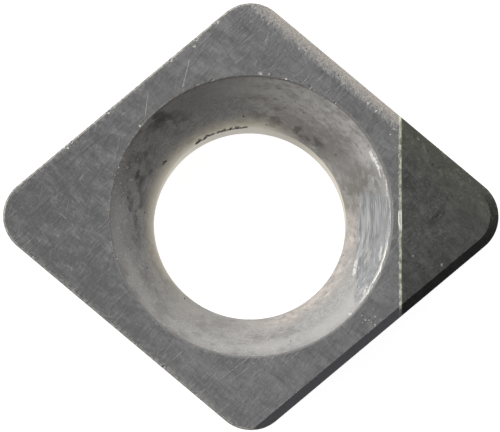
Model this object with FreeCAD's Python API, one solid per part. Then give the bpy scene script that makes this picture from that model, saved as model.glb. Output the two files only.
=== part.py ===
import FreeCAD, Part
import math
import os

from FreeCAD import Vector

# An 80 degree rhombic turning insert with one brazed cutting tip, in millimetres.
# The origin is on the screw hole's axis, in the seat face. +Z points to the rake face.
# +X runs along the long diagonal, to the corner that carries the tip.

# The ground blank
inscribed_circle = 3.5      # circle that touches the four sides of the rake face
point_angle = 80.0          # between the two sides that meet at the cutting corner
corner_radius = 0.4         # of all four corners, at the rake face
thickness = 1.39            # from the seat face to the rake face
relief_angle = 7.0          # lean of the flanks, inward below the rake face
edge_hone = 0.03            # radius on the edges of the rake face
seat_edge_break = 0.03      # chamfer round the seat face

# The screw hole and the countersink pressed round it
hole_diameter = 1.95
hole_mouth_break = 0.03     # chamfer where the hole leaves the seat face
countersink_diameter = 2.84
countersink_angle = 60.0    # included angle of the cone
countersink_blend = 0.35    # radius that rolls the cone over into the hole
blend_exit_angle = 8.0      # lean of the roll where it meets the hole, which leaves a faint edge
rim_hone = 0.03             # radius where the cone meets the rake face

# The negative land ground along both cutting edges
land_width = 0.09           # seen from above
land_angle = 25.0           # fall of the land below the rake face

# The tip, its pocket and the braze between them
pocket_web = 0.07           # carbide left between the countersink's rim and the pocket
pocket_corner_radius = 0.1  # where the pocket's back wall meets its floor
tip_thickness = 0.7
braze_gap = 0.03            # film of braze behind and under the tip

# How far cutting tools run past what they cut
overrun = 0.5

side_distance = inscribed_circle / 2
side_normal = 90 - point_angle / 2    # direction of a cutting side's normal, from +X
hole_radius = hole_diameter / 2
countersink_radius = countersink_diameter / 2
cone_lean = countersink_angle / 2


def polar(radius, degrees, height=0.0):
    """A point at a radius and a direction from the hole's axis."""
    turn = math.radians(degrees)
    return Vector(radius * math.cos(turn), radius * math.sin(turn), height)


def corner_arc(side_offset, radius, facing, half_sweep, height):
    """The rounded corner that faces one way, between two sides at the same distance from the axis."""
    centre = polar((side_offset - radius) / math.cos(math.radians(half_sweep)), facing, height)
    start, middle, end = (centre + polar(radius, facing + turn) for turn in (-half_sweep, 0, half_sweep))
    return Part.Arc(start, middle, end).toShape()


def ends(edge):
    """The first and last point of an edge that runs anticlockwise."""
    return edge.valueAt(edge.FirstParameter), edge.valueAt(edge.LastParameter)


def closed_wire(arcs):
    """Arcs in order, with the straight side between each one and the next."""
    edges = []
    for arc, following in zip(arcs, arcs[1:] + arcs[:1]):
        side = Part.LineSegment(ends(arc)[1], ends(following)[0]).toShape()
        edges += [arc, side]
    return Part.Wire(edges)


def rhombus_outline(side_offset, radius, height):
    """The insert's rounded outline at one height."""
    half_sweeps = (side_normal, 90 - side_normal, side_normal, 90 - side_normal)
    return closed_wire(
        [
            corner_arc(side_offset, radius, 90 * corner, half_sweep, height)
            for corner, half_sweep in enumerate(half_sweeps)
        ]
    )


def ground_blank():
    """The solid insert before its hole: leaning flanks, a honed top edge and a broken seat edge."""
    inset = thickness * math.tan(math.radians(relief_angle))
    top = rhombus_outline(side_distance, corner_radius, thickness)
    seat = rhombus_outline(side_distance - inset, corner_radius - inset, 0)
    blank = Part.makeLoft([seat, top], True, True)
    blank = blank.makeFillet(edge_hone, edges_at(blank, thickness))
    return blank.makeChamfer(seat_edge_break, edges_at(blank, 0))


def edges_at(solid, height):
    """The edges of a solid that lie flat at one height."""
    level = 1e-6
    return [
        edge
        for edge in solid.Edges
        if abs(edge.BoundBox.ZMin - height) < level and abs(edge.BoundBox.ZMax - height) < level
    ]


def land_outline(drop):
    """The surface of the two lands and the nose between them, at a drop below the rake face."""
    offset = drop / math.tan(math.radians(land_angle)) - land_width
    reach = 3 * inscribed_circle
    nose = corner_arc(side_distance + offset, corner_radius + offset, 0, side_normal, thickness - drop)
    lower_end, upper_end = ends(nose)
    upper_rear = upper_end + polar(reach, side_normal + 90)
    lower_rear = lower_end + polar(reach, -side_normal - 90)
    straight = [(upper_end, upper_rear), (upper_rear, lower_rear), (lower_rear, lower_end)]
    return Part.Wire([nose] + [Part.LineSegment(*run).toShape() for run in straight])


def inside_the_lands():
    """Everything that the two ground lands leave, down past the seat face."""
    rise = land_width * math.tan(math.radians(land_angle)) / 2
    return Part.makeLoft([land_outline(thickness + overrun), land_outline(-rise)], True, True)


def revolved(edges):
    """A closed half section in the XZ plane, turned round the hole's axis."""
    section = Part.Face(Part.Wire(edges))
    return section.revolve(Vector(0, 0, 0), Vector(0, 0, 1), 360)


def straight_run(points):
    """Straight edges from point to point."""
    return [Part.LineSegment(start, end).toShape() for start, end in zip(points, points[1:])]


def leaning(radius, degrees):
    """The step from a rounding's centre to its surface, where the surface leans by so much from upright."""
    lean = math.radians(degrees)
    return Vector(-radius * math.cos(lean), 0, radius * math.sin(lean))


def countersink():
    """The cone from the rake face down, its honed rim, and the roll that ends in the hole."""
    lean = math.radians(cone_lean)
    roll_run = countersink_blend * (math.cos(math.radians(blend_exit_angle)) - math.cos(lean))
    roll_rise = countersink_blend * (math.sin(lean) - math.sin(math.radians(blend_exit_angle)))
    cone_height = (countersink_radius - hole_radius - roll_run) / math.tan(lean)

    hole_edge = Vector(hole_radius, 0, thickness - cone_height - roll_rise)
    roll_centre = hole_edge - leaning(countersink_blend, blend_exit_angle)
    roll_middle = roll_centre + leaning(countersink_blend, (blend_exit_angle + cone_lean) / 2)
    roll_top = roll_centre + leaning(countersink_blend, cone_lean)

    hone_reach = rim_hone * math.tan((math.pi / 2 - lean) / 2)
    hone_centre = Vector(countersink_radius + hone_reach, 0, thickness - rim_hone)
    hone_start = hone_centre + leaning(rim_hone, cone_lean)
    hone_middle = hone_centre + leaning(rim_hone, (90 + cone_lean) / 2)
    hone_end = hone_centre + Vector(0, 0, rim_hone)

    above = thickness + overrun
    edges = [
        Part.Arc(hole_edge, roll_middle, roll_top).toShape(),
        Part.LineSegment(roll_top, hone_start).toShape(),
        Part.Arc(hone_start, hone_middle, hone_end).toShape(),
    ]
    closing = [
        hone_end,
        Vector(hone_end.x, 0, above),
        Vector(0, 0, above),
        Vector(0, 0, hole_edge.z),
        hole_edge,
    ]
    return revolved(edges + straight_run(closing))


def hole():
    """The parallel hole, right through, with its broken mouth in the seat face."""
    below = -overrun
    mouth = hole_radius + hole_mouth_break
    section = [
        Vector(0, 0, below),
        Vector(mouth, 0, below),
        Vector(mouth, 0, 0),
        Vector(hole_radius, 0, hole_mouth_break),
        Vector(hole_radius, 0, thickness + overrun),
        Vector(0, 0, thickness + overrun),
        Vector(0, 0, below),
    ]
    return revolved(straight_run(section))


def across_the_insert(profile):
    """A profile in the XZ plane, run right across the insert along Y."""
    half_run = 2 * inscribed_circle
    face = Part.Face(profile)
    face.translate(Vector(0, -half_run, 0))
    return face.extrude(Vector(0, 2 * half_run, 0))


pocket_wall = countersink_radius + pocket_web
pocket_floor = thickness - tip_thickness - braze_gap
front = 2 * inscribed_circle
above_all = thickness + overrun


def pocket_space():
    """The corner pocket: a back wall and a level floor, joined by a small radius, open all round."""
    centre = Vector(pocket_wall + pocket_corner_radius, 0, pocket_floor + pocket_corner_radius)
    wall_end = centre + Vector(-pocket_corner_radius, 0, 0)
    floor_end = centre + Vector(0, 0, -pocket_corner_radius)
    middle = centre + Vector(-pocket_corner_radius, 0, -pocket_corner_radius).normalize() * pocket_corner_radius
    outer = [
        floor_end,
        Vector(front, 0, pocket_floor),
        Vector(front, 0, above_all),
        Vector(pocket_wall, 0, above_all),
        wall_end,
    ]
    corner = Part.Arc(wall_end, middle, floor_end).toShape()
    return across_the_insert(Part.Wire([corner] + straight_run(outer)))


def tip_space():
    """The room that the tip fills: a braze film clear of the pocket, its heel cut clear of the radius."""
    back = pocket_wall + braze_gap
    underside = pocket_floor + braze_gap
    heel = pocket_corner_radius
    section = [
        Vector(back + heel, 0, underside),
        Vector(front, 0, underside),
        Vector(front, 0, above_all),
        Vector(back, 0, above_all),
        Vector(back, 0, underside + heel),
        Vector(back + heel, 0, underside),
    ]
    return across_the_insert(Part.Wire(straight_run(section)))


# Body, braze and tip are ground together after brazing, so all three are cut from one finished form.
insert = ground_blank().cut(hole()).cut(countersink()).common(inside_the_lands())
pocket = pocket_space()
tip_room = tip_space()

pieces = {
    "insert_body": insert.cut(pocket),
    "braze_joint": insert.common(pocket).cut(tip_room),
    "cbn_tip": insert.common(tip_room),
}

os.makedirs("parts", exist_ok=True)
for name, shape in pieces.items():
    (solid,) = shape.Solids
    solid.exportStep(f"parts/{name}.step")
    print(f"{name}: {solid.Volume:.4f} mm3, {len(solid.Faces)} faces, valid {solid.isValid()}")
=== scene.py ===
import math
import random

import bpy
from mathutils import Matrix, Vector


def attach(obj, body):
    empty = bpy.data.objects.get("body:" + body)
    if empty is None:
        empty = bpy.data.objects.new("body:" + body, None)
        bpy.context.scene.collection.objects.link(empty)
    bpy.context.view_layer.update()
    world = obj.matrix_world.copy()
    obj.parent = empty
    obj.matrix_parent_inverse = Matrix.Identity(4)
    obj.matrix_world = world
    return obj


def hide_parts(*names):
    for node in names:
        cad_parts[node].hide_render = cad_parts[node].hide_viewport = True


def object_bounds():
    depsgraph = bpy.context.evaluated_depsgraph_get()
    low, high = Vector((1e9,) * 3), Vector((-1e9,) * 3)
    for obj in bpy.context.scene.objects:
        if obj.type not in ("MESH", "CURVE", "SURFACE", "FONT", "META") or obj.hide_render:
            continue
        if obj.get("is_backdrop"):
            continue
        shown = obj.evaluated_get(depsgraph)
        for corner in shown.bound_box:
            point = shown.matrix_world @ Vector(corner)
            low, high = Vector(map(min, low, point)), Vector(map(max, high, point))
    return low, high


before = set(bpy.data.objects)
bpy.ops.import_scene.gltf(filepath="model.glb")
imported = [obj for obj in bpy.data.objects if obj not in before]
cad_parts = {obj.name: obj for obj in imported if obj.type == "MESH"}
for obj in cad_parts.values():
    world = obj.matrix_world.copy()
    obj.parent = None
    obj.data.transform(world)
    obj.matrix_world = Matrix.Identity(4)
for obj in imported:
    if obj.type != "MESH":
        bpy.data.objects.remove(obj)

cad_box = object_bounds()

# Camera. A long lens looks down on the rake face, about five degrees to the near side of upright,
# so that the far wall of the screw hole just shows.
LENS_TO_RAKE_FACE = 0.1
FRAME_WIDTH = 0.005034
SENSOR_WIDTH = 36
FRAME_CENTRE = Vector((-0.000010, 0.0, 0.00139))
LEAN_LEFT, LEAN_NEAR = 0.0133, 0.0947

camera_data = bpy.data.cameras.new("camera")
camera = bpy.data.objects.new("camera", camera_data)
bpy.context.scene.collection.objects.link(camera)
sight_line = Vector((-LEAN_LEFT, -LEAN_NEAR, 1)).normalized()
camera.location = FRAME_CENTRE + sight_line * LENS_TO_RAKE_FACE
right_hand = Vector((0, 1, 0)).cross(sight_line).normalized()
axes = Matrix((right_hand, sight_line.cross(right_hand), sight_line))
camera.rotation_euler = axes.transposed().to_euler()
camera_data.sensor_width = SENSOR_WIDTH
camera_data.lens = SENSOR_WIDTH * LENS_TO_RAKE_FACE / FRAME_WIDTH
camera_data.clip_start = LENS_TO_RAKE_FACE / 10
camera_data.clip_end = LENS_TO_RAKE_FACE * 10
bpy.context.scene.camera = camera
bpy.context.scene.view_settings.view_transform = "Standard"


# Floor and light. The insert lies on a white sheet in a dim even room, under five soft lamps. The strong
# one stands beyond its far left side, and weaker ones stand on the far side, far right, left and right.
class Wire:
    """One shader value. A sum or product of Wires and numbers adds the Math nodes for it."""

    def __init__(self, socket):
        self.socket = socket

    @staticmethod
    def from_node(tree, kind, settings, inputs, output=0):
        """Adds any node: its settings first, then the values or links of its sockets."""
        node = tree.nodes.new(kind)
        for name, value in settings.items():
            setattr(node, name, value)
        for name, value in inputs.items():
            if isinstance(value, Wire):
                tree.links.new(value.socket, node.inputs[name])
            else:
                node.inputs[name].default_value = value
        return Wire(node.outputs[output])

    def math(self, operation, first, second):
        tree = self.socket.id_data
        return Wire.from_node(tree, "ShaderNodeMath", {"operation": operation}, {0: first, 1: second})

    def __add__(self, other):
        return self.math("ADD", self, other)

    def __sub__(self, other):
        return self.math("SUBTRACT", self, other)

    def __mul__(self, other):
        return self.math("MULTIPLY", self, other)

    def __rsub__(self, other):
        return self.math("SUBTRACT", other, self)

    __radd__ = __add__
    __rmul__ = __mul__

    def above(self, low, high):
        """A mask that fades from 0 at low to 1 at high."""
        limits = {"Value": self, "From Min": low, "From Max": high}
        return Wire.from_node(
            self.socket.id_data, "ShaderNodeMapRange", {"interpolation_type": "SMOOTHSTEP"}, limits
        )

    def near(self, value, reach):
        """A mask that is 1 at a value and fades to 0 within reach of it."""
        return 1 - self.math("ABSOLUTE", self - value, 0.0).above(reach / 2, reach)

    def between(self, low, high, fade):
        return self.above(low - fade, low + fade) * (1 - self.above(high - fade, high + fade))


def new_material(name):
    """An empty material and its node tree, with only its output node."""
    material = bpy.data.materials.new(name)
    material.use_nodes = True
    tree = material.node_tree
    tree.nodes.clear()
    output = tree.nodes.new("ShaderNodeOutputMaterial")
    return material, tree, output


def surface(tree, output, shader):
    tree.links.new(shader.socket, output.inputs["Surface"])


FLOOR_SIZE = 0.6
FLOOR_GLOW = 0.96
FLOOR_WHITE = (0.9, 0.9, 0.9, 1)
FLOOR_GREY = (0.25, 0.25, 0.25, 1)
ROOM_LIGHT = 0.034

bpy.ops.object.select_all(action="DESELECT")
bpy.ops.mesh.primitive_plane_add(size=FLOOR_SIZE)
floor = bpy.context.active_object
floor.name = "floor"
floor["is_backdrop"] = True
sheet, tree, output = new_material("white_sheet")
ray = {kind: Wire.from_node(tree, "ShaderNodeLightPath", {}, {}, kind) for kind in (
    "Is Camera Ray", "Is Glossy Ray", "Is Transmission Ray")}
seen = ray["Is Camera Ray"] + ray["Is Glossy Ray"] + ray["Is Transmission Ray"]
matt = Wire.from_node(tree, "ShaderNodeBsdfDiffuse", {}, {"Color": FLOOR_WHITE})
glow = Wire.from_node(tree, "ShaderNodeEmission", {}, {"Color": (1, 1, 1, 1), "Strength": FLOOR_GLOW})
dimmed = Wire.from_node(tree, "ShaderNodeBsdfDiffuse", {}, {"Color": FLOOR_GREY})
bright = Wire.from_node(tree, "ShaderNodeAddShader", {}, {0: glow, 1: dimmed})
surface(tree, output, Wire.from_node(tree, "ShaderNodeMixShader", {}, {0: seen, 1: matt, 2: bright}))
floor.data.materials.append(sheet)

world = bpy.data.worlds.new("room")
bpy.context.scene.world = world
world.use_nodes = True
room_light = world.node_tree.nodes["Background"]
room_light.inputs["Color"].default_value = (1, 1, 1, 1)
room_light.inputs["Strength"].default_value = ROOM_LIGHT


LAMP_DISTANCE = 0.25
LAMP_SIZE = 0.13


def lamp(name, bearing, height, strength):
    """A square soft lamp that faces the insert, at a bearing from +X and an angle above the floor."""
    data = bpy.data.lights.new(name, "AREA")
    data.shape, data.size, data.energy = "SQUARE", LAMP_SIZE, strength
    holder = bpy.data.objects.new(name, data)
    bpy.context.scene.collection.objects.link(holder)
    turn, rise = math.radians(bearing), math.radians(height)
    towards = Vector((math.cos(turn) * math.cos(rise), math.sin(turn) * math.cos(rise), math.sin(rise)))
    holder.location = towards * LAMP_DISTANCE
    holder.rotation_euler = towards.to_track_quat("Z", "Y").to_euler()


lamp("far_left_lamp", bearing=150, height=40, strength=0.66)
lamp("far_lamp", bearing=90, height=40, strength=0.2)
lamp("far_right_lamp", bearing=55, height=38, strength=0.18)
lamp("left_lamp", bearing=203, height=45, strength=0.18)
lamp("right_lamp", bearing=0, height=40, strength=0.03)


# Body. One piece of sintered tungsten carbide, ground on its faces, flanks and lands after the tip is
# brazed in. The countersink and the hole keep the duller skin of the pressing. Modelled in millimetres.
MM = 0.001
INSCRIBED_CIRCLE = 3.5
SIDE_NORMAL = 50
CORNER_RADIUS = 0.4
THICKNESS = 1.39
RELIEF = math.radians(7)
EDGE_HONE = 0.023
SEAT_EDGE_BREAK = 0.03
LAND_WIDTH = 0.09
LAND_FALL = math.tan(math.radians(25))
HOLE_RADIUS = 0.975
COUNTERSINK_RADIUS = 1.42
CONE_LEAN = math.radians(30)
ROLL_RADIUS, ROLL_EXIT = 0.35, math.radians(8)
RIM_HONE = 0.03
OVERRUN = 0.5
ROUND_STEPS = 360
CUT_TOLERANCE = 1e-5
SAME_LEVEL = 1e-4


def leave_edit():
    bpy.ops.object.mode_set(mode="OBJECT")
    bpy.ops.object.select_all(action="DESELECT")


def enter_edit(piece, select="DESELECT", mode="VERT"):
    bpy.ops.object.select_all(action="DESELECT")
    bpy.context.view_layer.objects.active = piece
    piece.select_set(True)
    bpy.ops.object.mode_set(mode="EDIT")
    bpy.ops.mesh.select_mode(type=mode)
    bpy.ops.mesh.select_all(action=select)


def select_where(piece, kind, test):
    """Selects only the vertices, edges or polygons that pass a test, and comes back to edit mode."""
    bpy.ops.mesh.select_all(action="DESELECT")
    bpy.ops.object.mode_set(mode="OBJECT")
    for element in getattr(piece.data, kind):
        element.select = test(element)
    bpy.ops.object.mode_set(mode="EDIT")


def outline_ring(front, rear, radius, height):
    """The rounded outline at one height: a circle whose four arcs are moved out to the corners.
    The cutting sides lie at front from the axis and the two sides behind them at rear."""
    half_step = math.radians(180 / ROUND_STEPS)
    bpy.ops.mesh.primitive_circle_add(
        vertices=ROUND_STEPS, radius=radius, location=(0, 0, height), rotation=(0, 0, half_step)
    )
    bpy.ops.object.transform_apply()
    ring = bpy.context.active_object
    across, along = math.cos(math.radians(SIDE_NORMAL)), math.sin(math.radians(SIDE_NORMAL))
    side_corner = Vector(((front - rear) / 2 / across, (front + rear - 2 * radius) / 2 / along, 0))
    corners = {
        0: Vector(((front - radius) / across, 0, 0)),
        90: side_corner,
        180: Vector(((radius - rear) / across, 0, 0)),
        270: Vector((side_corner.x, -side_corner.y, 0)),
    }
    facings = [math.degrees(math.atan2(v.co.y, v.co.x)) for v in ring.data.vertices]
    enter_edit(ring)
    for facing, centre in corners.items():
        sweep = SIDE_NORMAL if facing % 180 == 0 else 90 - SIDE_NORMAL
        chosen = [abs((angle - facing + 180) % 360 - 180) < sweep for angle in facings]
        select_where(ring, "vertices", lambda v: chosen[v.index])
        bpy.ops.transform.translate(value=centre)
    leave_edit()
    return ring


def frustum(name, upper, lower):
    """A closed solid between two outline rings."""
    rings = [outline_ring(*upper), outline_ring(*lower)]
    for ring in rings:
        ring.select_set(True)
    bpy.context.view_layer.objects.active = rings[0]
    bpy.ops.object.join()
    rings[0].name = name
    enter_edit(rings[0], "SELECT", "EDGE")
    bpy.ops.mesh.bridge_edge_loops()
    bpy.ops.mesh.select_all(action="SELECT")
    bpy.ops.mesh.fill_holes(sides=0)
    bpy.ops.mesh.select_all(action="SELECT")
    bpy.ops.mesh.normals_make_consistent(inside=False)
    leave_edit()
    return rings[0]


def bevel_level_edges(piece, height, offset, segments):
    """Bevels the ring of edges that lies at one height."""
    enter_edit(piece, mode="EDGE")
    heights = [v.co.z for v in piece.data.vertices]
    select_where(piece, "edges", lambda e: all(abs(heights[v] - height) < SAME_LEVEL for v in e.vertices))
    bpy.ops.mesh.bevel(offset=offset, segments=segments, profile=0.5, clamp_overlap=False)
    leave_edit()


def turned(name, profile):
    """A solid of revolution: a disc at the first radius and height, extruded ring by ring."""
    (radius, height), *steps = profile
    bpy.ops.mesh.primitive_circle_add(
        vertices=ROUND_STEPS, radius=radius, fill_type="NGON", location=(0, 0, height)
    )
    bpy.ops.object.transform_apply()
    piece = bpy.context.active_object
    piece.name = name
    enter_edit(piece, "SELECT", "FACE")
    for next_radius, next_height in steps:
        bpy.ops.mesh.extrude_region_move(
            TRANSFORM_OT_translate={"value": (0, 0, next_height - height)}
        )
        grow = next_radius / radius
        bpy.ops.transform.resize(value=(grow, grow, 1), center_override=(0, 0, next_height))
        radius, height = next_radius, next_height
    bpy.ops.mesh.select_all(action="SELECT")
    bpy.ops.mesh.normals_make_consistent(inside=False)
    leave_edit()
    return piece


def combine(piece, operation, tool, keep_tool=False):
    """Cuts a piece with another solid, or keeps what the two share. Cut faces keep the tool's material."""
    bpy.context.view_layer.objects.active = piece
    step = piece.modifiers.new(operation.lower(), "BOOLEAN")
    step.operation, step.solver, step.object = operation, "EXACT", tool
    step.material_mode = "TRANSFER"
    bpy.ops.object.modifier_apply(modifier=step.name)
    if not keep_tool:
        bpy.data.objects.remove(tool)
    enter_edit(piece, "SELECT")
    bpy.ops.mesh.remove_doubles(threshold=CUT_TOLERANCE)
    leave_edit()
    return piece


def copy_of(piece, name):
    twin = piece.copy()
    twin.data = piece.data.copy()
    twin.name = name
    bpy.context.scene.collection.objects.link(twin)
    return twin


side = INSCRIBED_CIRCLE / 2
inset = THICKNESS * math.tan(RELIEF)
insert_form = frustum(
    "insert_form",
    (side, side, CORNER_RADIUS, THICKNESS),
    (side - inset, side - inset, CORNER_RADIUS - inset, 0),
)
bevel_level_edges(insert_form, THICKNESS, EDGE_HONE, 3)
bevel_level_edges(insert_form, 0, SEAT_EDGE_BREAK, 1)

roll_steps = 8
roll_leans = [ROLL_EXIT + (CONE_LEAN - ROLL_EXIT) * i / roll_steps for i in range(roll_steps + 1)]
roll_run = ROLL_RADIUS * (math.cos(ROLL_EXIT) - math.cos(CONE_LEAN))
roll_rise = ROLL_RADIUS * (math.sin(CONE_LEAN) - math.sin(ROLL_EXIT))
cone_height = (COUNTERSINK_RADIUS - HOLE_RADIUS - roll_run) / math.tan(CONE_LEAN)
hole_top = THICKNESS - cone_height - roll_rise
hone_leans = [CONE_LEAN + (math.pi / 2 - CONE_LEAN) * i / 3 for i in range(4)]
hone_centre = COUNTERSINK_RADIUS + RIM_HONE * math.tan((math.pi / 2 - CONE_LEAN) / 2)
hole_profile = [(HOLE_RADIUS + 0.03, -OVERRUN), (HOLE_RADIUS + 0.03, 0), (HOLE_RADIUS, 0.03)]
hole_profile += [
    (
        HOLE_RADIUS + ROLL_RADIUS * (math.cos(ROLL_EXIT) - math.cos(lean)),
        hole_top + ROLL_RADIUS * (math.sin(lean) - math.sin(ROLL_EXIT)),
    )
    for lean in roll_leans
]
hole_profile += [
    (hone_centre - RIM_HONE * math.cos(lean), THICKNESS - RIM_HONE + RIM_HONE * math.sin(lean))
    for lean in hone_leans
]
hole_profile += [(hone_centre, THICKNESS + OVERRUN)]
combine(insert_form, "DIFFERENCE", turned("hole_cutter", hole_profile))

above_face = 0.02
upper_offset = -LAND_WIDTH - above_face / LAND_FALL
lower_offset = (THICKNESS + OVERRUN) / LAND_FALL - LAND_WIDTH
far_side = 12
lands = frustum(
    "lands",
    (side + upper_offset, far_side, CORNER_RADIUS + upper_offset, THICKNESS + above_face),
    (side + lower_offset, far_side, CORNER_RADIUS + lower_offset, -OVERRUN),
)
combine(insert_form, "INTERSECT", lands)

POCKET_WALL = COUNTERSINK_RADIUS + 0.07
POCKET_FLOOR = 0.66
BRAZE_GAP = 0.03
POCKET_CORNER = 0.1


def room_for(name, back, bottom, corner_segments):
    """A block from a back wall and a floor out past the corner, its inner edge rounded or cut."""
    size = 3
    bpy.ops.mesh.primitive_cube_add(size=size, location=(back + size / 2, 0, bottom + size / 2))
    bpy.ops.object.transform_apply()
    block = bpy.context.active_object
    block.name = name
    enter_edit(block, mode="EDGE")
    points = [v.co.copy() for v in block.data.vertices]

    def inner(point):
        return abs(point.x - back) < SAME_LEVEL and abs(point.z - bottom) < SAME_LEVEL

    select_where(block, "edges", lambda e: all(inner(points[v]) for v in e.vertices))
    bpy.ops.mesh.bevel(offset=POCKET_CORNER, segments=corner_segments, profile=0.5)
    leave_edit()
    return block


pocket = room_for("pocket", POCKET_WALL, POCKET_FLOOR, 12)
tip_room = room_for("tip_room", POCKET_WALL + BRAZE_GAP, POCKET_FLOOR + BRAZE_GAP, 1)
body = copy_of(insert_form, "carbide_body")
braze = copy_of(insert_form, "braze_film")
tip = copy_of(insert_form, "cutting_tip")
bpy.data.objects.remove(insert_form)
combine(body, "DIFFERENCE", pocket, keep_tool=True)
combine(braze, "INTERSECT", pocket)
combine(braze, "DIFFERENCE", tip_room, keep_tool=True)
combine(tip, "INTERSECT", tip_room)


LARGEST_CURVED_FACE = 0.05 * MM * MM
SHARP_EDGE = math.radians(20)
LEVEL_NORMAL = 0.999


def seat_in_frame(piece):
    """From millimetres to metres, shaded smooth except at real edges."""
    bpy.ops.object.select_all(action="DESELECT")
    piece.select_set(True)
    bpy.context.view_layer.objects.active = piece
    piece.scale = (MM, MM, MM)
    bpy.ops.object.transform_apply()
    bpy.ops.object.shade_smooth_by_angle(angle=SHARP_EDGE)
    for face in piece.data.polygons:
        face.use_smooth = face.normal.z < LEVEL_NORMAL and face.area < LARGEST_CURVED_FACE
    weigh = piece.modifiers.new("weighted_normals", "WEIGHTED_NORMAL")
    weigh.keep_sharp, weigh.weight = True, 100
    bpy.ops.object.modifier_apply(modifier=weigh.name)
    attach(piece, "root")


class Stock:
    """A metal's node tree with the place on the insert, in millimetres, ready for its masks."""

    def __init__(self, name):
        self.material, self.tree, self.output = new_material(name)
        place = Wire.from_node(self.tree, "ShaderNodeTexCoord", {}, {}, "Object")
        inputs = {0: place, "Scale": 1 / MM}
        self.place = Wire.from_node(self.tree, "ShaderNodeVectorMath", {"operation": "SCALE"}, inputs)
        self.x, self.y, self.z = (
            Wire.from_node(self.tree, "ShaderNodeSeparateXYZ", {}, {0: self.place}, axis) for axis in "XYZ"
        )
        squares = self.x * self.x + self.y * self.y
        self.radius = squares.math("SQRT", squares, 0.0)
        self.bearing = self.y.math("ARCTAN2", self.y, self.x) * (180 / math.pi)
        self.full_bearing = self.x.math("FLOORED_MODULO", self.bearing, 360)

    def grain(self, scale, detail=4.0, stretch=(1, 1, 1), turn=0.0, seed=0.0):
        """Noise about 0.5, its cells 1/scale wide, drawn out and turned in the plane where asked."""
        mapped = Wire.from_node(
            self.tree,
            "ShaderNodeMapping",
            {"vector_type": "TEXTURE"},
            {
                "Vector": self.place,
                "Location": (seed, seed * 0.7, 0),
                "Rotation": (0, 0, math.radians(turn)),
                "Scale": stretch,
            },
        )
        inputs = {"Vector": mapped, "Scale": scale, "Detail": detail, "Roughness": 0.6}
        return Wire.from_node(self.tree, "ShaderNodeTexNoise", {}, inputs)

    def scratches(self, turn, low, high, seed, width=0.016):
        """Straight grinding marks that run one way: very long thin cells of noise, broken into lengths."""
        lines = self.grain(1 / width, detail=1.0, stretch=(120, 1, 1), turn=turn, seed=seed)
        lengths = self.grain(0.2 / width, detail=2.0, stretch=(5, 1, 1), turn=turn, seed=seed + 50)
        return lines.above(low, high) * lengths.above(0.46, 0.6)

    def stroke(self, start, end, width):
        """One scratch from point to point in the plane of the rake face."""
        run = Vector(end) - Vector(start)
        length = run.length
        run.normalize()
        dx, dy = self.x - start[0], self.y - start[1]
        along = dx * run.x + dy * run.y
        across = dx * (-run.y) + dy * run.x
        return across.near(0, width) * along.between(0, length, length / 6)

    def blot(self, centre, size, fade):
        """A round patch about a point of the rake face."""
        dx, dy = (self.x - centre[0]) * (1 / size[0]), (self.y - centre[1]) * (1 / size[1])
        far = dx * dx + dy * dy
        return 1 - far.above(1 - fade, 1 + fade)

    def tint(self, base, colour, mask):
        """Mixes a colour over another by a mask."""
        settings = {"data_type": "RGBA", "clamp_factor": True}
        inputs = {0: mask, 6: base if isinstance(base, Wire) else (*base, 1), 7: (*colour, 1)}
        return Wire.from_node(self.tree, "ShaderNodeMix", settings, inputs, 2)

    def finish(self, colour, metallic, roughness, height, bump):
        relief = Wire.from_node(
            self.tree, "ShaderNodeBump", {}, {"Height": height, "Strength": bump, "Distance": 0.01 * MM}
        )
        inputs = {"Base Color": colour, "Metallic": metallic, "Roughness": roughness, "Normal": relief}
        shader = Wire.from_node(self.tree, "ShaderNodeBsdfPrincipled", {}, inputs)
        surface(self.tree, self.output, shader)
        return self.material


def side_distance(stock):
    """How far inside the nearest of the four sides a point of the rake face lies."""
    nearest = None
    for bearing in (SIDE_NORMAL, 180 - SIDE_NORMAL, 180 + SIDE_NORMAL, -SIDE_NORMAL):
        turn = math.radians(bearing)
        inside = side - (stock.x * math.cos(turn) + stock.y * math.sin(turn))
        nearest = inside if nearest is None else nearest.math("MINIMUM", nearest, inside)
    return nearest


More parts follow.
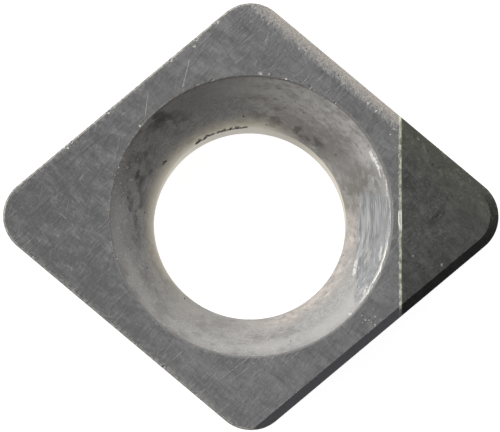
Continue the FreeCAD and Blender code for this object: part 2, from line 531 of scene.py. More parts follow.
def ground_carbide():
    """The rake face: even grey, cross-hatched by the grinding wheel, frayed bright beside the lit land."""
    stock = Stock("ground_carbide")
    light_marks = stock.scratches(78, 0.6, 0.76, 3.1, 0.012) * 0.6
    light_marks = light_marks + stock.scratches(-48, 0.62, 0.77, 7.7, 0.012) * 0.7
    light_marks = light_marks + stock.scratches(38, 0.61, 0.76, 12.9, 0.012) * 0.8
    light_marks = light_marks + stock.scratches(118, 0.63, 0.77, 21.3, 0.012) * 0.6
    dark_marks = stock.scratches(-56, 0.57, 0.7, 41.1, 0.025) + stock.scratches(42, 0.58, 0.7, 47.9, 0.025)
    cloud = stock.grain(1.6, detail=3.0, seed=5.0)
    broad_cloud = stock.grain(6, detail=3.0, seed=55.0)
    light_dashes = [
        stock.grain(34, detail=2.0, stretch=(8, 1, 1), turn=turn, seed=60.0 + turn / 7).above(0.62, 0.76)
        for turn in (-40, 36, 48, 80)
    ]
    light_dashes = sum(light_dashes[1:], light_dashes[0]) * (0.3 + cloud.above(0.44, 0.6) * 0.7)
    dark_streaks = [
        1 - stock.grain(scale, stretch=(4.5, 1, 1), turn=turn, seed=90.0 + turn / 7).above(0.3, 0.56)
        for scale, turn in ((12, -30), (20, -42), (30, 54))
    ]
    dark_streaks = sum(dark_streaks[1:], dark_streaks[0])
    speck = stock.grain(38, detail=2.0, seed=9.0)
    inside = side_distance(stock)
    facing = math.radians(SIDE_NORMAL)
    lit_side = side - stock.x * math.cos(facing) - stock.y * math.sin(facing)
    fray = (1 - lit_side.above(LAND_WIDTH - 0.01, LAND_WIDTH + 0.09)) * (1 - stock.x.above(1.45, 1.5))
    frayed = stock.grain(44, stretch=(2.2, 1, 1), turn=80, seed=81.0)
    fray = (fray * 0.25 + frayed).above(0.5, 0.82) * fray.above(0.02, 0.3)
    rim = 1 - stock.radius.above(COUNTERSINK_RADIUS + 0.01, COUNTERSINK_RADIUS + 0.06)
    rim = rim * stock.grain(22, detail=3.0, seed=18.0).above(0.5, 0.68)
    rim = rim * (1 + stock.full_bearing.between(215, 290, 15))
    dots = stock.blot((1.17, -1.06), (0.13, 0.08), 0.7)
    dots = dots + lit_side.between(LAND_WIDTH, LAND_WIDTH + 0.06, 0.02)
    dots = dots * stock.grain(26, detail=1.0, seed=201.0).above(0.66, 0.71)
    dots = dots * (1 - stock.x.above(1.45, 1.48))
    edge = (1 - inside.above(0.02, 0.09)) * stock.grain(30, detail=3.0, seed=14.0).above(0.42, 0.66)
    colour = stock.tint((0.19, 0.19, 0.19), (0.16, 0.16, 0.161), cloud.above(0.35, 0.62))
    colour = stock.tint(colour, (0.1, 0.1, 0.101), (1 - stock.x.above(-2.2, -0.5)) * 0.74)
    colour = stock.tint(colour, (0.26, 0.26, 0.26), stock.y.above(1.2, 1.9) * 0.12)
    grain = stock.grain(56, detail=2.0, stretch=(2.4, 1, 1), turn=-40, seed=111.0)
    grain = grain + stock.grain(60, detail=2.0, stretch=(2.4, 1, 1), turn=54, seed=121.0)
    colour = stock.tint(colour, (0.09, 0.09, 0.09), (1 - grain.above(0.78, 1.0)) * 0.26)
    colour = stock.tint(colour, (0.28, 0.28, 0.277), grain.above(1.0, 1.24) * 0.2)
    patches = stock.grain(9, stretch=(2.2, 1, 1), turn=-35, seed=231.0)
    contrast = 0.2 + (1 - stock.x.above(-2.0, -0.2)) * 0.2
    colour = stock.tint(colour, (0.09, 0.09, 0.09), (1 - patches.above(0.34, 0.54)) * contrast)
    colour = stock.tint(colour, (0.31, 0.31, 0.305), patches.above(0.48, 0.7) * contrast)
    depth = 0.36 + (1 - stock.x.above(-1.9, -1.2)) * 0.2
    dull_and_shade = dark_streaks * depth + (1 - broad_cloud.above(0.36, 0.5)) * 0.2
    colour = stock.tint(colour, (0.105, 0.105, 0.106), dull_and_shade)
    colour = stock.tint(colour, (0.27, 0.27, 0.267), light_dashes * 0.36)
    colour = stock.tint(colour, (0.08, 0.08, 0.081), dark_marks * 0.22)
    colour = stock.tint(colour, (0.30, 0.30, 0.295), light_marks * 0.28)
    colour = stock.tint(colour, (0.26, 0.26, 0.255), speck.above(0.62, 0.74) * 0.35)
    colour = stock.tint(colour, (0.3, 0.29, 0.28), rim * 0.35 + edge * 0.6)
    colour = stock.tint(colour, (0.37, 0.355, 0.335), fray * 0.8)
    colour = stock.tint(colour, (0.6, 0.58, 0.55), dots * 0.75)
    roughness = 0.5 + cloud * 0.08 - light_marks * 0.05
    height = speck * 0.3 - light_marks * 0.35 + dark_marks * 0.15 + light_dashes * 0.2 - dark_streaks * 0.2
    return stock.finish(colour, 0.6, roughness, height, 0.35)


def land_carbide():
    """The lands ground along the cutting edges: fine marks square to the edge, a warm cast where lit."""
    stock = Stock("land_carbide")
    grit = stock.grain(40, detail=3.0, seed=4.0)
    long_cloud = stock.grain(5, detail=3.0, seed=44.0)
    inside = side_distance(stock)
    frayed = inside.above(LAND_WIDTH - 0.045, LAND_WIDTH - 0.005) * grit.above(0.42, 0.58)
    worn = (1 - inside.above(0.0, 0.03)) * grit.above(0.4, 0.6)
    colour = stock.tint((0.285, 0.262, 0.236), (0.24, 0.222, 0.203), grit.above(0.4, 0.6))
    colour = stock.tint(colour, (0.2, 0.188, 0.174), inside.above(0.0, LAND_WIDTH) * 0.5)
    colour = stock.tint(colour, (0.15, 0.145, 0.14), long_cloud.above(0.5, 0.65) * 0.3)
    colour = stock.tint(colour, (0.13, 0.13, 0.13), frayed * 0.45)
    colour = stock.tint(colour, (0.4, 0.38, 0.35), worn * 0.4)
    shaded_side = 1 - stock.y.above(-0.2, 0.2)
    colour = stock.tint(colour, (0.155, 0.155, 0.172), shaded_side * (0.7 + grit * 0.3))
    return stock.finish(colour, 0.75, 0.42 + grit * 0.1, grit, 0.25)


def honed_carbide():
    """The rounded edges at the rear and under the lands: dull and chalky in grains, with a painted
    highlight along the far left edges and painted shade on the countersink's rim.
    """
    stock = Stock("honed_carbide")
    grit = stock.grain(32, detail=3.0, seed=54.0)
    colour = stock.tint((0.17, 0.163, 0.152), (0.3, 0.285, 0.265), grit.above(0.45, 0.62))
    # Painted shade: the rim hone of the countersink is painted darker, less so on the far left.
    rim = (1 - stock.radius.above(1.45, 1.5)) * (1 - stock.full_bearing.between(95, 200, 10) * 0.6)
    colour = stock.tint(colour, (0.15, 0.146, 0.142), rim * 0.8)
    # Painted highlight: the far left hones are painted lighter in grains, on the side the strong lamp
    # lights.
    far_left = (stock.y * 0.766 - stock.x * 0.643).above(1.3, 1.6)
    colour = stock.tint(colour, (0.36, 0.335, 0.3), far_left * grit.above(0.42, 0.55) * 0.6)
    return stock.finish(colour, 0.3, 0.6 + grit * 0.1, grit, 0.3)


def flank_carbide():
    """The ground flanks and seat: marks that run along the sides, and cross each other on the seat."""
    stock = Stock("flank_carbide")
    above_seat = stock.z.above(0.0, 0.02)
    lapped = stock.grain(26, detail=3.0, stretch=(9, 1, 1), turn=25, seed=181.0)
    lapped = (lapped + stock.grain(26, detail=3.0, stretch=(9, 1, 1), turn=-60, seed=191.0)) * 0.5
    marks = stock.grain(6, detail=3.0, stretch=(1, 1, 0.04), seed=6.0)
    marks = marks * above_seat + lapped * (1 - above_seat)
    grit = stock.grain(50, detail=3.0, seed=8.0)
    worn = stock.z.above(THICKNESS - 0.06, THICKNESS - 0.02) * grit.above(0.45, 0.6)
    colour = stock.tint((0.19, 0.188, 0.185), (0.13, 0.13, 0.13), marks.above(0.4, 0.62))
    colour = stock.tint(colour, (0.45, 0.44, 0.42), worn * 0.6)
    roughness = 0.38 + marks * 0.14
    return stock.finish(colour, 0.9, roughness, marks + grit * 0.4, 0.3)


def sintered_carbide():
    """The countersink and the hole: the unground skin of the pressing. An outer band is lighter, except
    on the far side, where a band of painted shade and soft painted shadows lie below the rim, and braze
    has run down the side towards the tip in silvery streaks. The hole's wall, the roll above it and a glow
    near the hole are painted light from the white sheet below. A bright line on the right rim is a painted
    highlight, and the rim's edge carries painted shade."""
    stock = Stock("sintered_carbide")
    cloud = stock.grain(2.2, detail=5.0, seed=11.0)
    mottle = stock.grain(11, detail=5.0, seed=13.0)
    soft = stock.grain(6, detail=3.0, seed=15.0)
    grit = stock.grain(42, detail=3.0, seed=17.0)
    radius, bearing = stock.radius, stock.bearing
    far_left = stock.full_bearing.between(72, 222, 16)
    colour = stock.tint((0.33, 0.322, 0.31), (0.26, 0.255, 0.25), cloud.above(0.38, 0.62) * 0.7)
    colour = stock.tint(colour, (0.27, 0.264, 0.275), stock.full_bearing.between(85, 205, 20) * 0.8)
    flecks = stock.grain(24, seed=101.0)
    colour = stock.tint(colour, (0.45, 0.432, 0.412), flecks.above(0.52, 0.7) * 0.35)
    colour = stock.tint(colour, (0.19, 0.18, 0.175), (1 - flecks.above(0.32, 0.5)) * 0.35)
    colour = stock.tint(colour, (0.4, 0.385, 0.365), mottle.above(0.5, 0.68) * 0.45)
    colour = stock.tint(colour, (0.2, 0.195, 0.19), (1 - mottle.above(0.3, 0.44)) * 0.5)
    sand = stock.grain(62, detail=2.0, seed=141.0)
    colour = stock.tint(colour, (0.5, 0.485, 0.47), sand.above(0.5, 0.68) * 0.4)
    colour = stock.tint(colour, (0.17, 0.163, 0.16), (1 - sand.above(0.32, 0.5)) * 0.38)

    # An outer band of the countersink is lighter, except on the far side.
    lighter_outer_band = radius.between(1.27, 1.40, 0.05) * (1 - bearing.between(108, 172, 12))
    colour = stock.tint(colour, (0.46, 0.455, 0.445), lighter_outer_band * (0.35 + soft * 0.3))
    inner = (1 - radius.above(1.05, 1.2)) * (1 - bearing.between(80, 150, 20))
    colour = stock.tint(colour, (0.3, 0.285, 0.262), inner * soft.above(0.35, 0.6) * 0.5)
    # Painted light: a tan glow near the hole on the right and near side, for light thrown up from the
    # white sheet, broken by darker flecks.
    tan = (1 - radius.above(1.06, 1.14)) * bearing.between(-80, 14, 8)
    colour = stock.tint(colour, (0.56, 0.5, 0.46), tan * (0.24 + mottle.above(0.4, 0.66) * 0.5))
    tan_flecks = 1 - stock.grain(18, seed=131.0).above(0.34, 0.5)
    colour = stock.tint(colour, (0.22, 0.19, 0.17), tan * tan_flecks * 0.5)
    lit = bearing.between(-62, -28, 14) * radius.above(1.05, 1.15)
    colour = stock.tint(colour, (0.6, 0.59, 0.56), lit * 0.1)
    # Painted shade: a darker, slightly blue band below the rim on the far side of the countersink.
    dull_and_shade = radius.between(1.2, 1.375, 0.05) * bearing.between(104, 168, 12)
    colour = stock.tint(colour, (0.19, 0.185, 0.2), dull_and_shade * 0.25)

    # Painted shadow: soft dark blots in a band below the rim on the far left wall, darker still where the
    # mottle is dark.
    shadow_blots = stock.blot((-0.91, 0.98), (0.15, 0.08), 0.8) * soft.above(0.38, 0.6) * 0.8
    shadow_blots = shadow_blots + stock.blot((-1.08, 0.64), (0.14, 0.3), 0.8) * soft.above(0.42, 0.62)
    shadow_blots = shadow_blots + stock.blot((-1.17, 0.12), (0.13, 0.42), 0.8) * soft.above(0.46, 0.62)
    shadow_blots = shadow_blots + stock.blot((-0.78, 0.98), (0.3, 0.12), 0.8) * soft.above(0.42, 0.6) * 0.7
    colour = stock.tint(colour, (0.14, 0.136, 0.146), shadow_blots * 0.55)
    colour = stock.tint(colour, (0.05, 0.048, 0.052), shadow_blots * mottle.above(0.36, 0.64) * 0.5)
    specks = stock.grain(34, detail=1.0, seed=151.0).above(0.65, 0.71)
    specks = specks * stock.full_bearing.between(150, 285, 12)
    colour = stock.tint(colour, (0.62, 0.6, 0.57), specks * radius.above(1.15, 1.3) * 0.8)
    near_left = bearing.between(-138, -100, 12) * (1 - radius.above(1.25, 1.4))
    colour = stock.tint(colour, (0.42, 0.415, 0.395), near_left * 0.16)
    lower_left = stock.full_bearing.between(188, 292, 14)
    worn = stock.grain(4.5, detail=5.0, seed=211.0)
    colour = stock.tint(colour, (0.2, 0.19, 0.185), lower_left * (1 - worn.above(0.34, 0.52)) * 0.5)
    colour = stock.tint(colour, (0.47, 0.43, 0.4), lower_left * worn.above(0.5, 0.68) * 0.32)
    right_skin = bearing.between(18, 92, 12)
    colour = stock.tint(colour, (0.46, 0.445, 0.425), right_skin * (0.15 + radius.above(1.15, 1.35) * 0.5))
    patchy = stock.grain(9, detail=6.0, stretch=(1.5, 1, 1), turn=-25, seed=73.0)
    fine = stock.grain(24, stretch=(1.4, 1, 1), turn=-20, seed=79.0)
    colour = stock.tint(colour, (0.18, 0.165, 0.157), right_skin * (1 - patchy.above(0.3, 0.56)) * 0.55)
    colour = stock.tint(colour, (0.5, 0.475, 0.455), right_skin * patchy.above(0.46, 0.7) * 0.35)
    colour = stock.tint(colour, (0.15, 0.14, 0.135), right_skin * (1 - fine.above(0.3, 0.5)) * 0.5)
    colour = stock.tint(colour, (0.55, 0.52, 0.5), right_skin * fine.above(0.52, 0.68) * 0.35)
    brown = stock.blot((1.12, 0.3), (0.2, 0.24), 0.8)
    brown = brown + stock.blot((0.72, 0.78), (0.32, 0.16), 0.8) * 0.7
    colour = stock.tint(colour, (0.13, 0.12, 0.1), brown * mottle.above(0.36, 0.56) * 0.7)
    dim_arc = radius.between(1.0, 1.16, 0.06) * bearing.between(22, 74, 12)
    dim_arc = dim_arc + radius.between(1.12, 1.24, 0.04) * bearing.between(16, 44, 8) * 0.7
    colour = stock.tint(colour, (0.2, 0.19, 0.18), dim_arc * 0.6)

    kink = radius.near(HOLE_RADIUS + 0.03, 0.05)
    flash = stock.grain(8, seed=23.0).above(0.45, 0.58) * bearing.between(94, 130, 4)
    colour = stock.tint(colour, (0.03, 0.03, 0.032), kink * flash * 0.6)
    smudge = radius.near(1.04, 0.07) * bearing.between(46, 80, 4) * soft.above(0.46, 0.6)
    smudge = smudge + radius.near(1.06, 0.05) * bearing.between(84, 88, 2) * 0.6
    colour = stock.tint(colour, (0.07, 0.066, 0.064), smudge * 0.75)

    spots = radius.between(0.99, 1.07, 0.03) * stock.full_bearing.between(188, 222, 6)
    spots = spots * mottle.above(0.42, 0.56)
    spots = spots + stock.blot((1.094, -0.587), (0.012, 0.012), 0.5)
    colour = stock.tint(colour, (0.11, 0.105, 0.1), spots * 0.6)

    wall = 1 - stock.z.above(hole_top - 0.02, hole_top + 0.01)
    rolled = (1 - radius.above(HOLE_RADIUS - 0.01, HOLE_RADIUS + 0.14)) * far_left
    pits = grit.above(0.7, 0.76)
    # Painted light: the roll on the far left and the hole's wall are painted cream, a painted reflection
    # of the white sheet below, the wall darker on the far side and lighter on the right.
    colour = stock.tint(colour, (0.565, 0.53, 0.44), rolled * 0.85)
    colour = stock.tint(colour, (0.535, 0.5, 0.42), wall)
    colour = stock.tint(colour, (0.3, 0.28, 0.24), wall * bearing.between(55, 125, 15) * 0.5)
    colour = stock.tint(colour, (0.69, 0.645, 0.545), wall * bearing.between(-50, 45, 15) * 0.7)
    colour = stock.tint(colour, (0.05, 0.048, 0.046), pits * 0.6)

    streaks = stock.grain(46, detail=3.0, stretch=(1, 12, 1), seed=29.0)
    broad = stock.grain(7, detail=3.0, stretch=(1, 6, 1), seed=31.0)
    smear = (stock.x - stock.y * 0.06 + soft * 0.06).above(1.11, 1.14)
    smear = smear * stock.y.between(-0.86, 0.24, 0.08) * (1 - wall)
    smear = smear * stock.grain(5, detail=3.0, stretch=(1, 2, 1), seed=37.0).above(0.25, 0.4)
    lower = 1 - radius.above(1.18, 1.3)
    colour = stock.tint(colour, (0.36, 0.37, 0.385), smear * 0.85)
    colour = stock.tint(colour, (0.24, 0.245, 0.255), smear * lower * 0.8)
    colour = stock.tint(colour, (0.52, 0.52, 0.515), smear * broad.above(0.5, 0.62) * 0.7)
    colour = stock.tint(colour, (0.9, 0.9, 0.88), smear * streaks.above(0.56, 0.7) * 0.45)
    colour = stock.tint(colour, (0.13, 0.13, 0.13), smear * (1 - streaks.above(0.34, 0.48)) * 0.45)
    glints = stock.stroke((1.20, 0.665), (1.245, 0.565), 0.016)
    glints = glints + stock.stroke((1.24, 0.60), (1.29, 0.49), 0.014)
    glints = glints + stock.stroke((1.275, 0.52), (1.31, 0.40), 0.009) * 0.6
    glints = glints + stock.stroke((1.315, -0.30), (1.30, -0.44), 0.013) * 0.8
    glints = glints + stock.stroke((1.075, -0.40), (1.045, -0.56), 0.022) * 0.6
    glints = glints + stock.stroke((1.17, -0.70), (1.13, -0.79), 0.013) * 0.8
    glints = glints + stock.stroke((1.36, 0.42), (1.372, 0.2), 0.008) * 0.6
    colour = stock.tint(colour, (0.9, 0.89, 0.86), glints * grit.above(0.35, 0.5) * 0.9)
    # Painted highlight: a broken bright cream line along the right rim, with a small bright dot below it.
    # The bead also raises the bump there.
    wander = (stock.grain(5, detail=3.0, seed=221.0) - 0.5) * 0.03
    glinting_bead = radius.near(wander + 1.396, 0.013) * bearing.between(-38, -12, 3)
    glinting_bead = glinting_bead + stock.blot((0.995, -0.985), (0.02, 0.014), 0.6) * 0.6
    glinting_bead = glinting_bead + radius.near(1.398, 0.009) * bearing.between(-12, 30, 5) * grit.above(0.44, 0.58) * 0.6
    glinting_bead = glinting_bead * stock.grain(9, detail=3.0, seed=91.0).above(0.3, 0.5)
    colour = stock.tint(colour, (0.74, 0.71, 0.64), glinting_bead * 0.85)
    # Painted shade: the outer edge of the countersink is painted darker, most on the right and far side.
    rim = radius.above(1.405, 1.416) * (0.15 + bearing.between(-12, 135, 10) * 0.85)
    colour = stock.tint(colour, (0.1, 0.098, 0.095), rim * 0.7)

    metallic = 0.35 + smear * 0.3 + wall * 0.55 + rolled * 0.55 - rim * 0.2
    roughness = 0.62 - smear * 0.22 + mottle * 0.08 - wall * 0.1 - rolled * 0.12
    height = cloud * 1.5 + mottle * 1.2 + grit * 0.4 - pits * 1.5 + smear * streaks * 1.4 + glinting_bead * 1.5
    return stock.finish(colour, metallic, roughness, height, 0.5)


def dress(piece, finishes):
    """Gives each face the first finish whose test its centre and outward direction pass."""
    piece.data.materials.clear()
    for material, _ in finishes:
        piece.data.materials.append(material)
    for face in piece.data.polygons:
        fits = [test(face.center, face.normal) for _, test in finishes]
        face.material_index = fits.index(True)


UPWARD = 0.99
LAND_NORMAL = 0.906


def on_rake_face(centre, normal):
    return normal.z > UPWARD


def in_the_hole(centre, normal):
    inside = centre.xy.length < COUNTERSINK_RADIUS + 0.001 and centre.z > 0.001
    return inside and normal.xy.dot(centre.xy) < 0


def on_a_hone(centre, normal):
    return centre.z > THICKNESS - LAND_WIDTH and 0.02 < normal.z < 0.985


def on_a_land(centre, normal):
    return abs(normal.z - LAND_NORMAL) < 0.01 and centre.z > THICKNESS - LAND_WIDTH


def anywhere(centre, normal):
    return True


dress(body, [
    (ground_carbide(), on_rake_face),
    (sintered_carbide(), in_the_hole),
    (land_carbide(), on_a_land),
    (honed_carbide(), on_a_hone),
    (flank_carbide(), anywhere),
])


# Nicks, pits and scratches of use. Small bites out of the edges and the rim, pits and press marks in the
# skin of the hole, and a few long scratches over the rake face.
def broken_surface(name, light, dark, roughness):
    stock = Stock(name)
    grit = stock.grain(40, detail=3.0, seed=33.0)
    colour = stock.tint(light, dark, grit.above(0.4, 0.6))
    return stock.finish(colour, 0.3, roughness + grit * 0.1, grit, 0.3)


def rock():
    """One rough grain to bite with, a millimetre in radius."""
    bpy.ops.mesh.primitive_ico_sphere_add(subdivisions=2, radius=1)
    grain = bpy.context.active_object
    enter_edit(grain, "SELECT")
    bpy.ops.transform.vertex_random(offset=0.22, uniform=1.0, seed=5)
    leave_edit()
    return grain


def v_groove():
    """One scratch, a millimetre long and wide, its lower edge sharp."""
    bpy.ops.mesh.primitive_cube_add(size=1, rotation=(math.pi / 4, 0, 0))
    bpy.ops.object.transform_apply()
    return bpy.context.active_object


def scatter(name, form, material, places):
    """Copies of one form, each moved, turned and sized by its place, joined to one cutting tool."""
    copies = []
    for location, turn, size in places:
        twin = copy_of(form, name)
        twin.location, twin.rotation_euler, twin.scale = location, turn, size
        copies.append(twin)
    bpy.data.objects.remove(form)
    bpy.ops.object.select_all(action="DESELECT")
    for twin in copies:
        twin.select_set(True)
    bpy.context.view_layer.objects.active = copies[0]
    bpy.ops.object.transform_apply()
    bpy.ops.object.join()
    copies[0].data.materials.append(material)
    return copies[0]


def beside(bearing, along, inside, height):
    """A point of a side: along it from the middle, in from its line and at a height."""
    turn = math.radians(bearing)
    out = side - inside
    return (
        out * math.cos(turn) - along * math.sin(turn),
        out * math.sin(turn) + along * math.cos(turn),
        height,
    )


def any_turn(dice):
    return tuple(dice.uniform(0, 2 * math.pi) for _ in range(3))


def bite_size(dice, least, most):
    """Most bites are small and a few are large."""
    radius = least + (most - least) * dice.random() ** 3
    return tuple(radius * dice.uniform(0.6, 1.3) for _ in range(3))


def row(dice, first, last, spacing, least, most):
    """Bites along a line, as places and sizes. Each keeps clear of the one before."""
    reach, at = 0.0, first
    while at < last:
        size = bite_size(dice, least, most)
        at += (reach + max(size)) * 1.25 + spacing * dice.uniform(0.3, 1.7)
        reach = max(size)
        yield at, size


def skin_radius(height):
    """The radius of the hole's skin at a height above the seat."""
    for (lower, low), (upper, high) in zip(hole_profile, hole_profile[1:]):
        if low <= height < high:
            return lower + (upper - lower) * (height - low) / (high - low)


dice = random.Random(80)
nicks = []
REAR_EDGES = ((130, -1.1, 1.57, 0.02, 0.028), (230, -1.57, 1.1, 0.025, 0.022))
CUTTING_EDGES = ((50, 0.03, 0.011), (310, 0.06, 0.009))
RIM_ARCS = ((50, 200, 0.04, 0.016), (205, 405, 0.14, 0.008))
for bearing, first, last, spacing, most in REAR_EDGES:
    for along, size in row(dice, first, last, spacing, 0.004, most):
        lean = math.radians(dice.uniform(5, 80))
        inside, drop = EDGE_HONE * (1 - math.cos(lean)), EDGE_HONE * (1 - math.sin(lean))
        nicks.append((beside(bearing, along, inside, THICKNESS - drop), any_turn(dice), size))
for bearing, spacing, most in CUTTING_EDGES:
    for along, size in row(dice, -1.1, 1.1, spacing, 0.003, most):
        place = beside(bearing, along, LAND_WIDTH + dice.uniform(-0.012, 0.008), THICKNESS - 0.001)
        if place[0] < POCKET_WALL - 0.03:
            nicks.append((place, any_turn(dice), size))
for first, last, spacing, most in RIM_ARCS:
    arc = math.radians(1) * COUNTERSINK_RADIUS
    for along, size in row(dice, first * arc, last * arc, spacing, 0.004, most):
        turn = along / COUNTERSINK_RADIUS
        out = COUNTERSINK_RADIUS + dice.uniform(0.0, 0.02)
        nicks.append(((out * math.cos(turn), out * math.sin(turn), THICKNESS), any_turn(dice), size))
bright = broken_surface("broken_edge", (0.4, 0.39, 0.37), (0.24, 0.235, 0.225), 0.55)
combine(body, "DIFFERENCE", scatter("nicks", rock(), bright, nicks))

# Place on the rake face, and half length.
LARGE_CHIPS = (
    (-0.577, 1.722, 0.021),
    (-1.387, 1.104, 0.022),
    (-1.85, 0.69, 0.02),
    (-2.2, -0.42, 0.02),
    (-1.124, 0.917, 0.019),
    (0.09, 1.45, 0.028),
    (0.18, 1.44, 0.015),
    (0.35, 1.395, 0.018),
    (0.03, 2.115, 0.018),
    (1.40, 0.83, 0.012),
)
SMALL_CHIPS_TRIED, SMALL_CHIPS_AT, CHIPS_APART = 30, (1.17, -1.06), 0.04
chips = [
    ((x, y, THICKNESS), (0, 0, any_turn(dice)[2]), (size, size * 0.7, size * 0.4))
    for x, y, size in LARGE_CHIPS
]
for _ in range(SMALL_CHIPS_TRIED):
    x, y = SMALL_CHIPS_AT
    place = (x + dice.uniform(-0.1, 0.1), y + dice.uniform(-0.05, 0.06), THICKNESS)
    if all((Vector(place) - Vector(other)).length > CHIPS_APART for other, _, _ in chips):
        chips.append((place, any_turn(dice), (dice.uniform(0.007, 0.014), 0.008, 0.006)))
combine(body, "DIFFERENCE", scatter("chips", rock(), bright, chips))

PITS_TRIED, PITS_APART = 70, 0.05
pits = []
for _ in range(PITS_TRIED):
    turn = math.radians(dice.gauss(135, 55) if dice.random() < 0.55 else dice.uniform(0, 360))
    height = dice.uniform(hole_top + 0.03, THICKNESS - 0.05)
    out = skin_radius(height)
    place = (out * math.cos(turn), out * math.sin(turn), height)
    if all((Vector(place) - Vector(other)).length > PITS_APART for other, _, _ in pits):
        pits.append((place, any_turn(dice), bite_size(dice, 0.003, 0.013)))
# Painted shade: the floors of the pits are painted near black.
pit_floor = broken_surface("pit_floor", (0.12, 0.115, 0.11), (0.05, 0.05, 0.05), 0.7)
combine(body, "DIFFERENCE", scatter("pits", rock(), pit_floor, pits))

# First and last bearing, half width, and height above the top of the hole's straight wall.
PRESS_MARKS = (
    (92.5, 102.5, 0.021, 0.05),
    (104, 111, 0.02, 0.05),
    (112.5, 117, 0.017, 0.05),
    (118, 125, 0.028, 0.05),
    (144.5, 147.5, 0.011, 0.2),
)
marks = []
for first, last, half_width, up in PRESS_MARKS:
    bearing = first
    while bearing < last:
        turn = math.radians(bearing)
        height = hole_top + up + dice.uniform(-0.018, 0.018)
        out = skin_radius(height) - half_width * dice.uniform(0.1, 0.8)
        place = (out * math.cos(turn), out * math.sin(turn), height)
        size = (dice.uniform(0.02, 0.034), half_width * dice.uniform(0.5, 1.4), half_width * 3)
        marks.append((place, (0, 0, turn + math.pi / 2 + dice.uniform(-0.3, 0.3)), size))
        bearing += dice.uniform(1.2, 2.4)
# Painted light: the floors of the press marks are painted much lighter than the skin, to lift the shade
# inside them.
mark_floor = broken_surface("mark_floor", (0.6, 0.57, 0.53), (0.25, 0.24, 0.22), 0.8)
ROUNDS = 6
for start in range(ROUNDS):
    combine(body, "DIFFERENCE", scatter("press_marks", rock(), mark_floor, marks[start::ROUNDS]))

# Start and end on the rake face, and width.
LONG_SCRATCHES = (
    ((-0.623, 1.575), (-0.692, 1.303), 0.0068),
    ((-1.038, 1.246), (-1.068, 1.008), 0.007),
    ((-0.30, -1.64), (0.0, -1.41), 0.006),
    ((-0.20, -1.66), (0.04, -1.48), 0.005),
    ((-0.80, -1.46), (-0.68, -1.36), 0.005),
    ((0.5, 1.33), (0.62, 1.45), 0.005),
    ((-1.98, 0.06), (-1.86, -0.03), 0.005),
    ((-1.97, -0.13), (-1.84, -0.06), 0.004),
    ((-1.8, 0.16), (-1.78, -0.02), 0.004),
)
scratches = []
for start, end, width in LONG_SCRATCHES:
    start, end = (Vector((*point, THICKNESS + 0.002)) for point in (start, end))
    run = end - start
    scratches.append(((start + end) / 2, (0, 0, math.atan2(run.y, run.x)), (run.length, width, width)))
scratch_floor = broken_surface("scratch_floor", (0.45, 0.45, 0.44), (0.3, 0.3, 0.3), 0.4)
combine(body, "DIFFERENCE", scatter("scratches", v_groove(), scratch_floor, scratches))


# Braze. A thin film of silver braze under and behind the tip, run in while hot and ground off level with
# the faces. It shows as a speckled pale line, with beads that stand a little proud.
def silver_braze():
    stock = Stock("silver_braze")
    grit = stock.grain(28, detail=3.0, stretch=(1, 1.6, 1), seed=3.0)
    patches = stock.grain(4, detail=2.0, stretch=(1, 2, 1), seed=19.0)
    colour = stock.tint((0.20, 0.205, 0.16), (0.5, 0.5, 0.4), grit.above(0.36, 0.62))
    colour = stock.tint(colour, (0.95, 0.94, 0.86), stock.y.between(-0.125, 0.055, 0.03) * 0.85)
    colour = stock.tint(colour, (0.33, 0.34, 0.27), patches.above(0.5, 0.65) * 0.5)
    ragged = (stock.x - grit * 0.02).above(POCKET_WALL + 0.007, POCKET_WALL + 0.017)
    ragged = ragged * (1 - stock.y.between(-0.15, 0.08, 0.03))
    colour = stock.tint(colour, (0.11, 0.115, 0.095), ragged * 0.75)
    # Painted shade: the braze is painted dark at its near end, where it runs across the near right land.
    colour = stock.tint(colour, (0.1, 0.1, 0.105), (1 - stock.y.above(-0.95, -0.92)) * 0.8)
    return stock.finish(colour, 0.5, 0.45 + grit * 0.1, grit, 0.5)


dress(braze, [(silver_braze(), anywhere)])
beads = [((POCKET_WALL + 0.005, -0.035, THICKNESS - 0.001), (0, 0, 0.03), (0.014, 0.095, 0.005))]
for along, size in row(dice, -0.9, 0.86, 0.02, 0.010, 0.026):
    if not -0.17 < along < 0.1:
        back = POCKET_WALL + dice.choice((0.0, 0.0, BRAZE_GAP))
        width = dice.uniform(0.004, 0.009)
        beads.append(((back, along, THICKNESS - 0.001), (0, 0, 0), (width, max(size), 0.005)))
bead_tool = scatter("beads", rock(), braze.data.materials[0], beads)
combine(body, "DIFFERENCE", bead_tool, keep_tool=True)
combine(braze, "UNION", bead_tool, keep_tool=True)
seat_in_frame(braze)
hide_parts("braze_joint")


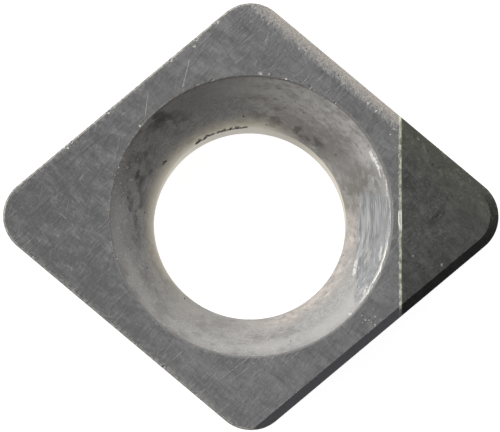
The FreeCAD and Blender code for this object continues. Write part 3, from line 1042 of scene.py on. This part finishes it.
# Tip. A block of boron nitride compact, dark greenish grey and finely grained. It is brazed into the
# pocket and then ground with the body, so its faces and lands run on from the body's.
def nitride_compact(name, base, light, dark, green, metallic, roughness):
    stock = Stock(name)
    cloud = stock.grain(2.4, detail=3.0, seed=6.0)
    mottle = stock.grain(14, seed=8.0)
    grit = stock.grain(40, detail=2.0, seed=10.0)
    streaks = stock.grain(14, detail=3.0, stretch=(4, 1, 1), turn=-50, seed=12.0)
    marks = stock.scratches(-50, 0.58, 0.74, 15.0) + stock.scratches(40, 0.6, 0.75, 25.0)
    across, along = math.cos(math.radians(SIDE_NORMAL)), math.sin(math.radians(SIDE_NORMAL))
    olive = (stock.x * across + stock.y * along).above(1.3, 1.75)
    low_side = (stock.x * across - stock.y * along).above(1.2, 1.7)
    colour = stock.tint(base, dark, (1 - mottle.above(0.36, 0.6)) * 0.6)
    colour = stock.tint(colour, dark, (1 - streaks.above(0.34, 0.56)) * 0.35)
    colour = stock.tint(colour, light, grit.above(0.52, 0.7) * 0.5)
    colour = stock.tint(colour, light, marks * 0.35 + streaks.above(0.5, 0.72) * 0.3)
    colour = stock.tint(colour, green, olive * 0.35)
    # Painted shade: the tip is painted darker towards its near right side.
    colour = stock.tint(colour, dark, low_side * 0.35)
    colour = stock.tint(colour, dark, cloud.above(0.45, 0.65) * 0.25)
    strokes = stock.grain(22, detail=3.0, stretch=(3, 1, 1), turn=-55, seed=161.0)
    strokes = strokes + stock.grain(26, detail=3.0, stretch=(3, 1, 1), turn=40, seed=171.0) * 0.5
    upper = stock.z.above(THICKNESS - 0.06, THICKNESS - 0.02)
    colour = stock.tint(colour, (0.17, 0.18, 0.115), olive * upper * strokes.above(0.8, 0.98) * 0.6)
    colour = stock.tint(colour, light, stock.x.above(1.95, 2.35) * 0.12)
    gouge = stock.stroke((1.79, -0.085), (1.94, 0.055), 0.05)
    colour = stock.tint(colour, (0.035, 0.035, 0.033), gouge * 0.75)
    dots = stock.blot((1.92, -0.49), (0.012, 0.016), 0.4) + stock.blot((1.63, -0.40), (0.01, 0.01), 0.4)
    colour = stock.tint(colour, (0.25, 0.25, 0.22), dots * 0.8)
    return stock.finish(colour, metallic, roughness + mottle * 0.1, mottle * 0.6 + grit * 0.6, 0.35)


face_tints = ((0.075, 0.075, 0.071), (0.14, 0.14, 0.128), (0.036, 0.036, 0.034), (0.1, 0.105, 0.072))
land_tints = ((0.027, 0.027, 0.026), (0.048, 0.048, 0.045), (0.015, 0.015, 0.016), (0.043, 0.047, 0.022))
flank_tints = ((0.045, 0.045, 0.042), (0.08, 0.08, 0.072), (0.03, 0.03, 0.028), (0.06, 0.062, 0.045))
dress(tip, [
    (nitride_compact("tip_face", *face_tints, 0.6, 0.44), on_rake_face),
    (nitride_compact("tip_land", *land_tints, 0.5, 0.4), on_a_land),
    (nitride_compact("tip_flank", *flank_tints, 0.4, 0.42), anywhere),
])
combine(tip, "DIFFERENCE", bead_tool)
gouge_floor = broken_surface("gouge_floor", (0.045, 0.045, 0.043), (0.025, 0.025, 0.024), 0.6)
gouges = [
    ((1.868, -0.015, THICKNESS + 0.004), (0, 0, math.radians(43)), (0.07, 0.024, 0.009)),
    ((1.79, 0.66, THICKNESS + 0.002), (0, 0, math.radians(-20)), (0.02, 0.014, 0.006)),
    ((1.83, 0.52, THICKNESS + 0.002), (0, 0, math.radians(60)), (0.024, 0.012, 0.006)),
]
combine(tip, "DIFFERENCE", scatter("gouges", rock(), gouge_floor, gouges))
seat_in_frame(tip)
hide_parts("cbn_tip")
seat_in_frame(body)
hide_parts("insert_body")

dressed_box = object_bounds()
boxes = {"cad": cad_box, "visual": dressed_box}
{name: [list(corner) for corner in box] for name, box in boxes.items()}
